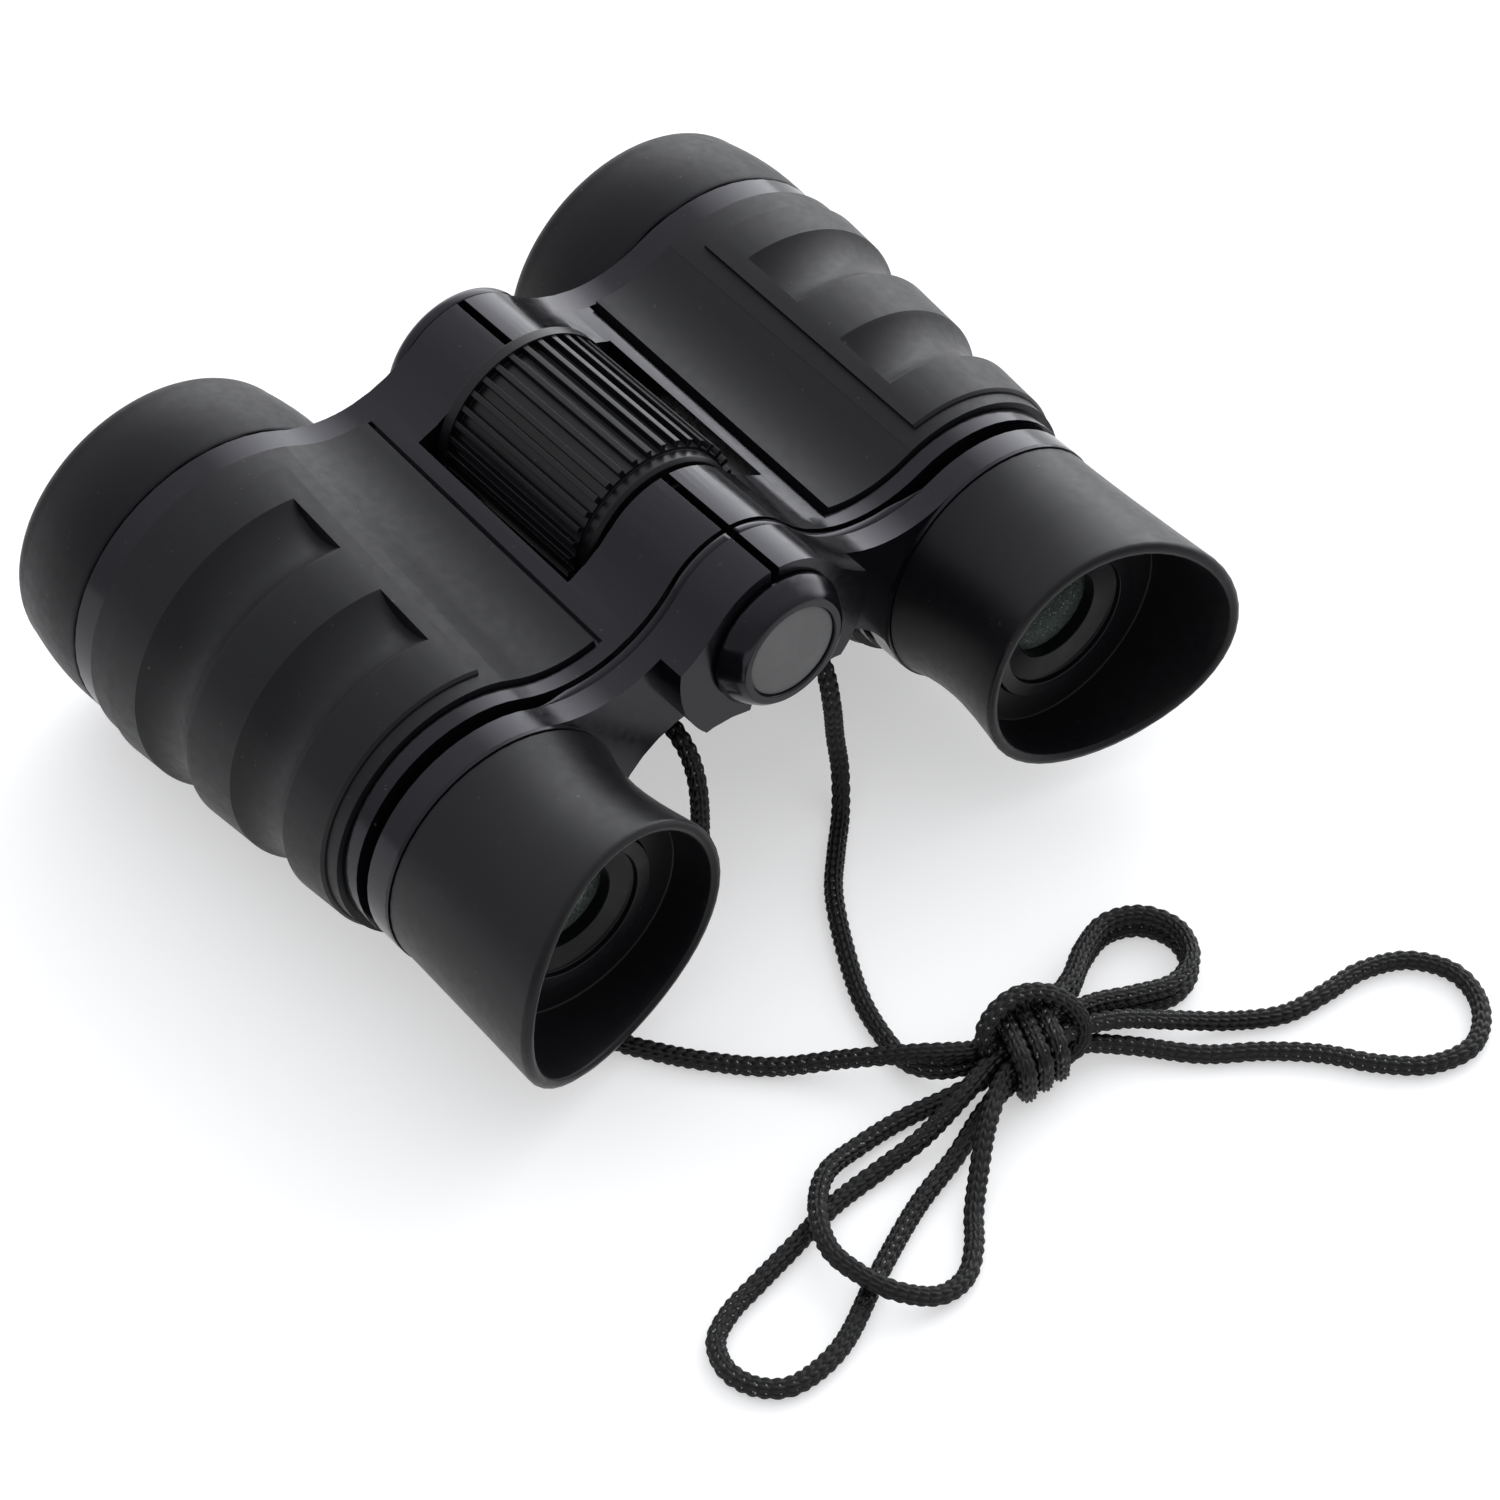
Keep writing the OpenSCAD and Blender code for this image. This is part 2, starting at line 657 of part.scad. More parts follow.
// Soft eyecup with a waist on its nose side and a wing on its outer side
module eyecup(side) {
  steps = 48;
  floor_r = tube_r + 1.3;
  function rim_y(a) = -cup_len - cup_wing * pow((1 + cos(a)) / 2, 2);
  function outer_r(s, a) =
    cup_base_r + (cup_rim_r - cup_base_r) * s - cup_waist * sin(180 * pow(s, 0.8)) * (1 - cos(a)) / 2;
  function ring(r_of, y_of) = [
    for (i = [0:steps - 1]) let (a = 360 * i / steps)
      [r_of(a) * cos(a), y_of(a), r_of(a) * sin(a)]
  ];
  outer = [
    for (s = [0, 0.12, 0.26, 0.4, 0.54, 0.68, 0.81, 0.92, 0.97])
      ring(function (a) outer_r(s, a), function (a) s * rim_y(a))
  ];
  crest = [
    ring(function (a) cup_rim_r - cup_wall * 0.2, function (a) 0.99 * rim_y(a)),
    ring(function (a) cup_rim_r - cup_wall * 0.55, function (a) rim_y(a)),
    ring(function (a) cup_rim_r - cup_wall * 0.9, function (a) 0.985 * rim_y(a))
  ];
  inner = [
    for (t = [0.15, 0.55, 1])
      ring(
        function (a) (cup_rim_r - cup_wall) * (1 - t) + floor_r * t,
        function (a) 0.96 * rim_y(a) * (1 - t) - (cup_len - cup_hollow) * t
      )
  ];
  color(soft_black) standing() on_side(side) translate([axis_x, ring_y, -axis_drop]) difference() {
    skin(concat(outer, crest, inner));
    translate([0, -cup_len + cup_hollow + cup_floor, 0]) along_y()
      cylinder(r = tube_r + seat_clear, h = cup_len);
    translate([0, -cup_len, 0]) along_y() cylinder(r = tube_r - tube_wall, h = cup_len);
  }
}

// Stepped cell that holds an eye lens in the draw tube
module eyepiece_cell(side) {
  face_y = cup_floor_y - cell_proud;
  lens_y0 = face_y + eye_bevel + cell_lip;
  color(satin_black) standing() on_side(side) on_barrel() rotate_extrude() polygon([
    [cell_r - cell_rim, face_y],
    [cell_r, face_y],
    [cell_r, face_y + cell_len],
    [eye_lens_r + seat_clear, face_y + cell_len],
    [eye_lens_r + seat_clear, lens_y0],
    [eye_hole_r, lens_y0],
    [eye_hole_r, face_y + eye_bevel],
    [cell_r - cell_rim, face_y + eye_bevel / 2]
  ]);
}

module eye_lens(side) {
  lens_y0 = cup_floor_y - cell_proud + eye_bevel + cell_lip;
  hollow = 0.5;
  color(lens_glass) standing() on_side(side) on_barrel() translate([0, 0, lens_y0])
    lens(eye_lens_r, eye_lens_r - eye_hole_r, eye_lens_t, -hollow);
}

// Pin through the front lug, on which the front end of the wheel turns
module hinge_pin() color(steel) standing() translate([0, pin_y0, 0]) along_y()
  cylinder(r = pin_r, h = body_len - pin_y0);

// Rounded cap over the front end of the hinge
module front_cap() {
  edge = 1;
  color(gloss_black) standing() translate([0, body_len + thrust_gap, 0]) along_y()
    rotate_extrude() polygon(concat(
      [[0, 0], [front_cap_r, 0]],
      arc([front_cap_r - edge, front_cap_len - edge], edge, 0, 90, 8),
      [[0, front_cap_len]]
    ));
}

// Washers between the wheel and the lugs at its ends
module thrust_washers() {
  color(steel) standing() for (y = [slot_y0 + thrust_gap, slot_y1 - thrust_gap - washer_t])
    translate([0, y, 0]) along_y() difference() {
      cylinder(r = knuckle_r, h = washer_t);
      translate([0, 0, -1]) cylinder(r = bore_r, h = washer_t + 2);
    }
}

// Ribbed wheel on the focus rod
module focus_wheel() {
  valley = wheel_r - rib_h;
  half_rib = asin(rib_w / 2 / wheel_r);
  half_foot = asin(rib_w / 2 / valley);
  rib_points = [
    for (i = [0:rib_count - 1]) let (a = 360 * i / rib_count)
      each [
        valley * [cos(a - half_foot), sin(a - half_foot)],
        wheel_r * [cos(a - half_rib), sin(a - half_rib)],
        wheel_r * [cos(a + half_rib), sin(a + half_rib)],
        valley * [cos(a + half_foot), sin(a + half_foot)]
      ]
  ];
  rib_y0 = collar_len;
  wheel_len = wheel_y1 - wheel_y0;
  bevel = 0.4;
  color(satin_black) standing() translate([0, wheel_y0, 0]) along_y() difference() {
    union() {
      rotate_extrude() polygon([
        [0, 0], [collar_r - bevel, 0], [collar_r, bevel], [collar_r, collar_len + 1], [0, collar_len + 1]
      ]);
      translate([0, 0, rib_y0]) linear_extrude(wheel_len - rib_y0 - flange_len / 2) polygon(rib_points);
      translate([0, 0, wheel_len - flange_len]) cylinder(r = wheel_r + flange_rise, h = flange_len);
    }
    translate([0, 0, -1]) cylinder(r = bore_r, h = wheel_len + 2);
  }
}

// Screw bore in the rear end of the focus rod
screw_r = 1.2;
screw_len = 7;
screw_head_r = 2.6;
screw_head_h = 1;
cap_wall = cap_len - cap_disc_t - screw_head_h - seat_clear;

// Rod that the wheel draws along, fixed to the rear cap
module focus_rod() color(steel) standing() translate([0, cap_y, 0]) along_y() difference() {
  cylinder(r = pin_r, h = rod_y1 - cap_y);
  translate([0, 0, -1]) cylinder(r = screw_r + seat_clear, h = screw_len + 1);
}

// Cap on the rear end of the focus rod
module rear_cap() {
  lip = 0.5;
  color(gloss_black) standing() translate([0, cap_y, 0]) rotate([90, 0, 0]) difference() {
    rotate_extrude() polygon([
      [0, 0], [cap_base_r, 0], [cap_base_r, lip], [cap_face_r + lip, cap_len - lip],
      [cap_face_r, cap_len], [0, cap_len]
    ]);
    translate([0, 0, cap_len - cap_disc_t]) cylinder(r = cap_disc_r + seat_clear, h = 1);
    translate([0, 0, cap_wall]) cylinder(r = screw_head_r + seat_clear, h = cap_len);
    translate([0, 0, -1]) cylinder(r = screw_r + seat_clear, h = cap_len);
  }
}

// Grained disc let into the rear cap, over the screw
module rear_cap_disc() color(disc_grey) standing()
  translate([0, cap_y - cap_len + cap_disc_t, 0]) rotate([90, 0, 0])
  cylinder(r = cap_disc_r, h = cap_disc_t);

// Screw that fixes the rear cap to the focus rod
module cap_screw() {
  head_y = cap_y - cap_wall - screw_head_h;
  color(steel) standing() translate([0, head_y, 0]) along_y() {
    cylinder(r = screw_head_r, h = screw_head_h);
    cylinder(r = screw_r, h = screw_head_h + cap_wall + screw_len - 1);
  }
}

// Routes of the neck cord on the floor, from the strap tabs to the knot
knot_mid = [0, -61, 3.5];
left_route = [
  [-9.2, -11.2, 19.6], [-9.2, -14.5, 19.6], [-9.2, -17.5, 19.2], [-9.4, -20.6, 17],
  [-10, -22.6, 13], [-11, -23.6, 5.4], [-13, -24.2, 2.8], [-16.6, -24.4, 1.3], [-21, -24.4, 0.8],
  [-25.4, -25.6, 0.8], [-28.8, -28.6, 0.8], [-29.4, -33, 0.8], [-27.2, -37, 0.8],
  [-24, -41.2, 0.8], [-19.6, -45.8, 0.9], [-14.4, -50.2, 2.2], [-9.6, -55.1, 4], [-7, -57.5, 4.5],
  [-4.5, -58.9, 4.5]
];
right_route = [
  [9.2, -11.2, 19.6], [9.2, -14.5, 19.6], [9.1, -16.8, 19.4], [8.7, -19.6, 17.2], [8.7, -20.8, 13],
  [9, -21, 8.6], [8.9, -22, 4.4], [7, -24.4, 1.1], [3.4, -28, 0.8], [-0.4, -32.2, 0.8],
  [-4.4, -38.8, 0.8], [-7.6, -45.6, 0.8], [-9, -52.4, 0.8], [-8.4, -55.7, 1.4], [-6.8, -57.9, 2.2],
  [-4.5, -58.9, 2.5]
];
// The loops beyond the knot and back through it: small pair, long pair and side loop
loop_route = [
  [-4.5, -58.9, 4.5], [0, -58.9, 4.5], [4.5, -58.9, 4.5], [8.6, -57.6, 4], [12.6, -55.1, 3.3],
  [17, -53.6, 2.8], [20.6, -55.1, 2.8], [22.1, -58.7, 2.8], [20.6, -62.3, 2.8], [17, -63.8, 2.9],
  [12.5, -62.8, 3.5], [8.5, -61.5, 4.1], [4.5, -61, 4.5], [0, -61, 4.5], [-4.5, -61, 4.5],
  [-9, -62, 3.9], [-14.5, -62.4, 2], [-20, -62.2, 0.9], [-26, -62.6, 0.8], [-32, -64, 0.8],
  [-37.4, -65.2, 0.8], [-41.5, -66.2, 0.8], [-44.6, -68, 0.8], [-45.8, -71.3, 0.8],
  [-44.6, -74.6, 0.8], [-41.5, -76.4, 0.8], [-35.6, -75.6, 0.8], [-28, -71.6, 0.8],
  [-20, -67.8, 0.8], [-13, -65.5, 0.9], [-8.5, -63.9, 1.8], [-4.5, -63.1, 2.5], [0, -63.2, 2.5],
  [4.2, -63.3, 2.5], [9, -66.3, 1.5], [14, -71, 0.8], [19, -74.6, 0.8], [23.2, -78.4, 0.8],
  [26.6, -82.8, 0.8], [30.6, -86.2, 0.8], [35.6, -87, 0.8], [39.6, -84, 0.8], [40.8, -79.4, 0.8],
  [38.4, -75.2, 0.8], [33.8, -73.2, 0.8], [28.6, -73, 0.8], [23.8, -72.4, 0.8], [19, -69.8, 1],
  [14, -67, 2.3], [9, -64.5, 3.9], [4.5, -63.1, 4.5], [0, -63.1, 4.5], [-4.5, -63.1, 4.5],
  [-9.4, -65.9, 3.7], [-13.4, -69.2, 1.9], [-16.2, -71.8, 0.9], [-18.8, -74.8, 0.8],
  [-21.8, -77, 0.8], [-25.4, -77.2, 1.3], [-28.6, -75, 2.4], [-30.2, -71.6, 2.9],
  [-30.4, -67.4, 2.7], [-28.4, -63.2, 2.9], [-24.6, -60, 2.3], [-19.6, -58.8, 1.1],
  [-14, -58.8, 0.9], [-9, -60.2, 1.8], [-4.5, -61, 2.5], [0, -61, 2.5], [4.5, -61, 2.5],
  [8.5, -61.5, 2], [12.5, -62.8, 1.4], [17, -63.8, 0.9], [20.6, -62.3, 0.8], [22.1, -58.7, 0.8],
  [20.6, -55.1, 0.8], [17, -53.6, 0.8], [12.6, -55.1, 1.3], [8.6, -57.6, 1.9], [4.5, -58.9, 2.5],
  [0, -58.9, 2.5], [-4.5, -58.9, 2.5]
];

// A smooth line through a route's points, with steps pieces between two points
function through(route, steps) =
  let (last = len(route) - 1)
  concat(
    [for (i = [0:last - 1]) for (k = [0:steps - 1])
      let (
        t = k / steps,
        a = route[max(i - 1, 0)],
        b = route[i],
        c = route[i + 1],
        d = route[min(i + 2, last)]
      )
      b + (t * (c - a) + t * t * (2 * a - 5 * b + 4 * c - d) + t * t * t * (3 * b - a - 3 * c + d)) / 2
    ],
    [route[last]]
  );

function unit(v) = v / norm(v);

function heading(line, i) =
  unit(line[min(i + 1, len(line) - 1)] - line[max(i - 1, 0)]);

// Cross direction carried along the line without twist
function carried(line, start) = [
  for (i = 0, n = unit(start - (start * heading(line, 0)) * heading(line, 0));
       i < len(line);
       i = i + 1, n = i < len(line) ? unit(n - (n * heading(line, i)) * heading(line, i)) : n) n
];

// Round cord of the given sides along a line
module cord(line, sides, start) {
  normals = carried(line, start);
  skin([
    for (i = [0:len(line) - 1])
      let (n = normals[i], b = cross(heading(line, i), n))
      [for (k = [0:sides - 1]) let (a = 360 * k / sides) line[i] + cord_d / 2 * (n * cos(a) + b * sin(a))]
  ]);
}

// Least gap between stretches of a cord that lie apart along it
function own_gap(line, apart) = min([
  for (i = [0:len(line) - 1 - apart]) for (j = [i + apart:len(line) - 1]) norm(line[i] - line[j])
]) - cord_d;

function length_of(line) =
  let (last = len(line) - 1)
  [for (i = [1:last]) norm(line[i] - line[i - 1])] * [for (i = [1:last]) 1];

lead_steps = 2;
loop_steps = 2;
left_line = through(left_route, lead_steps);
right_line = through(right_route, lead_steps);
loop_line = through(loop_route, loop_steps);

module left_cord_lead() color(cord_black) cord(left_line, 8, [1, 0, 0]);

module right_cord_lead() color(cord_black) cord(right_line, 8, [1, 0, 0]);

module cord_loops() {
  echo("least gap of the loops to themselves", own_gap(through(loop_route, 6), 24));
  echo("cord length", length_of(left_line) + length_of(right_line) + length_of(loop_line));
  color(cord_black) cord(loop_line, 6, [0, 0, 1]);
}

// Turns of the cord that tie the loops, squared off round the bundle
function knot_point(t) =
  let (
    a = 360 * knot_turns * t - 90,
    square = 0.6,
    across = sign(cos(a)) * pow(abs(cos(a)), square),
    up = sign(sin(a)) * pow(abs(sin(a)), square)
  )
  knot_mid + [
    knot_pitch * knot_turns * (t - 0.5) + knot_lean * sin(a),
    knot_half_y * across,
    knot_half_z * up
  ];

module cord_knot() {
  steps = 36 * knot_turns;
  line = [for (i = [0:steps]) knot_point(i / steps)];
  echo("least gap of the knot's turns to each other", own_gap(line, 24));
  color(cord_black) cord(line, 8, [1, 0, 0]);
}

// Stop knot that keeps a lead from slipping out of its strap tab
module stop_knot(side) {
  knot_y = tab_y + tab_t;
  color(cord_black) standing() on_side(side) translate([tab_x, knot_y + seat_clear, tab_z]) along_y()
    rotate_extrude() polygon(concat(
      [[0, 0]],
      [for (i = [0:10]) let (a = 180 * i / 10)
        [stop_knot_r * (0.6 + 0.4 * sin(a)), stop_knot_r * (1 - cos(a))]],
      [[0, 2 * stop_knot_r]]
    ));
}

body_shell(LEFT);  // left_body_shell
body_shell(RIGHT);  // right_body_shell
grip_armour(LEFT);  // left_grip_armour
grip_armour(RIGHT);  // right_grip_armour
hood(LEFT);  // left_hood
hood(RIGHT);  // right_hood
objective_lens(LEFT);  // left_objective_lens
objective_lens(RIGHT);  // right_objective_lens
lens_ring(LEFT);  // left_lens_ring
lens_ring(RIGHT);  // right_lens_ring
eyepiece_bridge(LEFT);  // left_eyepiece_bridge
eyepiece_bridge(RIGHT);  // right_eyepiece_bridge
draw_tube(LEFT);  // left_draw_tube
draw_tube(RIGHT);  // right_draw_tube
eyecup(LEFT);  // left_eyecup
eyecup(RIGHT);  // right_eyecup
eyepiece_cell(LEFT);  // left_eyepiece_cell
eyepiece_cell(RIGHT);  // right_eyepiece_cell
eye_lens(LEFT);  // left_eye_lens
eye_lens(RIGHT);  // right_eye_lens
hinge_pin();
front_cap();
thrust_washers();
focus_wheel();
focus_rod();
rear_cap();
rear_cap_disc();
cap_screw();
left_cord_lead();
right_cord_lead();
cord_loops();
cord_knot();
stop_knot(LEFT);  // left_stop_knot
stop_knot(RIGHT);  // right_stop_knot
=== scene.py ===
import json
import math

import bpy
import numpy as np
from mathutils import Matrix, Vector


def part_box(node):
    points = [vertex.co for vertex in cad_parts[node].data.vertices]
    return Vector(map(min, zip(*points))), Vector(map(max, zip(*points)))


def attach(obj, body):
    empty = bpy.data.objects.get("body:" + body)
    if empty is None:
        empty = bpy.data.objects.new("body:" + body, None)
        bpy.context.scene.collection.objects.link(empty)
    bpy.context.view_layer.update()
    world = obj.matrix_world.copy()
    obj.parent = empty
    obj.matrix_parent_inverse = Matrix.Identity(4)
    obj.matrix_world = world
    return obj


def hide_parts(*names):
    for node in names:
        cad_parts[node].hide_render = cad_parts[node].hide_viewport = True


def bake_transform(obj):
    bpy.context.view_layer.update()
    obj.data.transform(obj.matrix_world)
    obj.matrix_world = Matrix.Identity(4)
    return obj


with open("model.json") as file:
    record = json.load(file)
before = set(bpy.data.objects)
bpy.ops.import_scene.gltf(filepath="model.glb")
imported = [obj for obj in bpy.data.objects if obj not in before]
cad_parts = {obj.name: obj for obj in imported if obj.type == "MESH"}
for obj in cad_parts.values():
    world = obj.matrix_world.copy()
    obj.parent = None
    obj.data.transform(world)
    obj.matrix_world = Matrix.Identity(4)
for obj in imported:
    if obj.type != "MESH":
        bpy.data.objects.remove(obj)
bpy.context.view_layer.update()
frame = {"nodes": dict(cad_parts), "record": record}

MM = 0.001

# Camera, at the photograph's viewing angle
CAMERA_AT = Vector((-201.26, -265.17, 345.1)) * MM
CAMERA_LOOK = Vector((0.43577, 0.53457, -0.72411))
CAMERA_LENS = 109.45

camera_data = bpy.data.cameras.new("camera")
camera_data.lens = CAMERA_LENS
camera_data.sensor_width = 36
camera_data.clip_start = 0.01
camera = bpy.data.objects.new("camera", camera_data)
bpy.context.scene.collection.objects.link(camera)
camera.location = CAMERA_AT
camera.rotation_mode = "QUATERNION"
camera.rotation_quaternion = CAMERA_LOOK.to_track_quat("-Z", "Y")
bpy.context.scene.camera = camera


# Node helpers
def new_material(name):
    material = bpy.data.materials.new(name)
    material.use_nodes = True
    tree = material.node_tree
    return material, tree, tree.nodes["Principled BSDF"]


def ramp(tree, source, low, high, out_low, out_high):
    """Maps a value from one range to another, without going past the ends."""
    node = tree.nodes.new("ShaderNodeMapRange")
    node.inputs["From Min"].default_value = low
    node.inputs["From Max"].default_value = high
    node.inputs["To Min"].default_value = out_low
    node.inputs["To Max"].default_value = out_high
    tree.links.new(source, node.inputs["Value"])
    return node.outputs["Result"]


def noise(tree, scale, detail):
    """Noise in object space, where scale is waves per metre."""
    place = tree.nodes.new("ShaderNodeTexCoord")
    texture = tree.nodes.new("ShaderNodeTexNoise")
    texture.inputs["Scale"].default_value = scale
    texture.inputs["Detail"].default_value = detail
    tree.links.new(place.outputs["Object"], texture.inputs["Vector"])
    return texture.outputs["Fac"]


def bump(tree, shader, height, distance):
    node = tree.nodes.new("ShaderNodeBump")
    node.inputs["Distance"].default_value = distance
    tree.links.new(height, node.inputs["Height"])
    tree.links.new(node.outputs["Normal"], shader.inputs["Normal"])


def tinted(tree, shader, value, dark, light):
    """Colours a shader between two tones by a value from 0 to 1."""
    mix = tree.nodes.new("ShaderNodeMix")
    mix.data_type = "RGBA"
    mix.inputs["A"].default_value = (*dark, 1)
    mix.inputs["B"].default_value = (*light, 1)
    tree.links.new(value, mix.inputs["Factor"])
    tree.links.new(mix.outputs["Result"], shader.inputs["Base Color"])
    return mix.outputs["Result"]


def spotted(tree, shader, ground, spots, tone):
    """Lays spots of a tone over a colour, by a value from 0 to 1."""
    mix = tree.nodes.new("ShaderNodeMix")
    mix.data_type = "RGBA"
    mix.inputs["B"].default_value = (*tone, 1)
    tree.links.new(spots, mix.inputs["Factor"])
    tree.links.new(ground, mix.inputs["A"])
    tree.links.new(mix.outputs["Result"], shader.inputs["Base Color"])


# Waves per metre of the slow tone, the dust and the polish of every plastic
TONE_WAVES = 60
DUST_WAVES = 1500
POLISH_WAVES = 900
DUST_TONE = (0.08, 0.08, 0.08)
PLASTIC_IOR = 1.5


def plastic(name, dark, light, rough_low, rough_high, grain, depth, shine):
    """Moulded plastic: a slow change of tone and polish, a fine grain and a few specks of dust."""
    material, tree, shader = new_material(name)
    slow = noise(tree, TONE_WAVES, 4)
    ground = tinted(tree, shader, slow, dark, light)
    dust = ramp(tree, noise(tree, DUST_WAVES, 2), 0.73, 0.8, 0, 0.5)
    spotted(tree, shader, ground, dust, DUST_TONE)
    fine = noise(tree, POLISH_WAVES, 3)
    rough = ramp(tree, fine, 0.3, 0.7, rough_low, rough_high)
    tree.links.new(rough, shader.inputs["Roughness"])
    shader.inputs["IOR"].default_value = PLASTIC_IOR
    shader.inputs["Specular IOR Level"].default_value = shine
    bump(tree, shader, noise(tree, grain, 2), depth)
    return material


# Faint violet cast of the glossy shell's reflections
COOL_SHEEN = (0.9, 0.89, 1.0, 1)

gloss_shell = plastic(
    "gloss_shell",
    dark=(0.002, 0.002, 0.003),
    light=(0.004, 0.004, 0.005),
    rough_low=0.14,
    rough_high=0.22,
    grain=400,
    depth=2e-6,
    shine=0.3,
)
gloss_shell.node_tree.nodes["Principled BSDF"].inputs["Specular Tint"].default_value = COOL_SHEEN
soft_grip = plastic(
    "soft_grip",
    dark=(0.003, 0.003, 0.004),
    light=(0.005, 0.005, 0.006),
    rough_low=0.4,
    rough_high=0.48,
    grain=5000,
    depth=6e-6,
    shine=0.22,
)
hood_grip = plastic(
    "hood_grip",
    dark=(0.002, 0.002, 0.003),
    light=(0.004, 0.004, 0.005),
    rough_low=0.4,
    rough_high=0.48,
    grain=5000,
    depth=6e-6,
    shine=0.15,
)
eyecup_rubber = plastic(
    "eyecup_rubber",
    dark=(0.003, 0.003, 0.004),
    light=(0.005, 0.005, 0.006),
    rough_low=0.34,
    rough_high=0.42,
    grain=6000,
    depth=4e-6,
    shine=0.22,
)
satin_black = plastic(
    "satin_black",
    dark=(0.002, 0.002, 0.003),
    light=(0.004, 0.004, 0.005),
    rough_low=0.28,
    rough_high=0.36,
    grain=3000,
    depth=3e-6,
    shine=0.25,
)
grained_grey = plastic(
    "grained_grey",
    dark=(0.065, 0.065, 0.065),
    light=(0.14, 0.14, 0.14),
    rough_low=0.5,
    rough_high=0.62,
    grain=4200,
    depth=3e-5,
    shine=0.3,
)


def steel_material():
    """Plain turned steel with a fine change of tone and polish."""
    material, tree, shader = new_material("steel")
    tinted(tree, shader, noise(tree, 700, 3), (0.42, 0.42, 0.44), (0.58, 0.58, 0.6))
    shader.inputs["Metallic"].default_value = 1.0
    tree.links.new(ramp(tree, noise(tree, 2500, 2), 0.3, 0.7, 0.25, 0.42), shader.inputs["Roughness"])
    return material


LENS_IOR = 1.49
LENS_CLEAR = 0.7
LENS_DARK = (0.015, 0.024, 0.02)
# Painted light: the tone of the lens's lighter lower side
LENS_PAINTED_LIGHT_LOW_SIDE = (0.2, 0.25, 0.22)
# Painted glints: the tone of the fine pale specks over the lens
LENS_PAINTED_GLINT = (0.5, 0.55, 0.52)


def lens_material():
    """Dark greenish lens with painted light towards its lower side and a few painted glints."""
    material, tree, shader = new_material("lens")
    place = tree.nodes.new("ShaderNodeTexCoord")
    parts = tree.nodes.new("ShaderNodeSeparateXYZ")
    tree.links.new(place.outputs["Generated"], parts.inputs["Vector"])
    # Painted light: the lens grows lighter towards its lower side
    painted_light_low_side = ramp(tree, parts.outputs["Z"], 0.1, 0.75, 1, 0)
    ground = tinted(tree, shader, painted_light_low_side, LENS_DARK, LENS_PAINTED_LIGHT_LOW_SIDE)
    # Painted glints: fine pale specks laid over the lens
    painted_glints = ramp(tree, noise(tree, 2600, 2), 0.58, 0.72, 0, 0.5)
    spotted(tree, shader, ground, painted_glints, LENS_PAINTED_GLINT)
    shader.inputs["Transmission Weight"].default_value = LENS_CLEAR
    shader.inputs["IOR"].default_value = LENS_IOR
    tree.links.new(ramp(tree, noise(tree, 2500, 2), 0.4, 0.7, 0.06, 0.3), shader.inputs["Roughness"])
    bump(tree, shader, noise(tree, 3000, 2), 8e-6)
    return material


steel = steel_material()
lens_glass = lens_material()

FINISHES = {
    "gloss_shell": gloss_shell,
    "soft_grip": soft_grip,
    "eyecup_rubber": eyecup_rubber,
    "satin_black": satin_black,
    "grained_grey": grained_grey,
    "steel": steel,
    "lens": lens_glass,
    "cord": satin_black,
}
SLOT_OF = {p["node"]: p["material_slot"] for p in frame["record"]["subparts"]}


# Sizes shared with the CAD source, in millimetres
AXIS_X = 31.4
AXIS_DROP = 11.4
LUG_R = 9.0
VALLEY_R = 15.0
HINGE_Z = 30.0

# Neck cord: its routes over the floor, in millimetres, as in the CAD source
CORD_D = 1.5
LEFT_ROUTE = [
    (-9.2, -11.2, 19.6), (-9.2, -14.5, 19.6), (-9.2, -17.5, 19.2), (-9.4, -20.6, 17), (-10, -22.6, 13),
    (-11, -23.6, 5.4), (-13, -24.2, 2.8), (-16.6, -24.4, 1.3), (-21, -24.4, 0.8), (-25.4, -25.6, 0.8),
    (-28.8, -28.6, 0.8), (-29.4, -33, 0.8), (-27.2, -37, 0.8), (-24, -41.2, 0.8), (-19.6, -45.8, 0.9),
    (-14.4, -50.2, 2.2), (-9.6, -55.1, 4), (-7, -57.5, 4.5), (-4.5, -58.9, 4.5),
]
RIGHT_ROUTE = [
    (9.2, -11.2, 19.6), (9.2, -14.5, 19.6), (9.1, -16.8, 19.4), (8.7, -19.6, 17.2), (8.7, -20.8, 13),
    (9, -21, 8.6), (8.9, -22, 4.4), (7, -24.4, 1.1), (3.4, -28, 0.8), (-0.4, -32.2, 0.8),
    (-4.4, -38.8, 0.8), (-7.6, -45.6, 0.8), (-9, -52.4, 0.8), (-8.4, -55.7, 1.4), (-6.8, -57.9, 2.2),
    (-4.5, -58.9, 2.5),
]
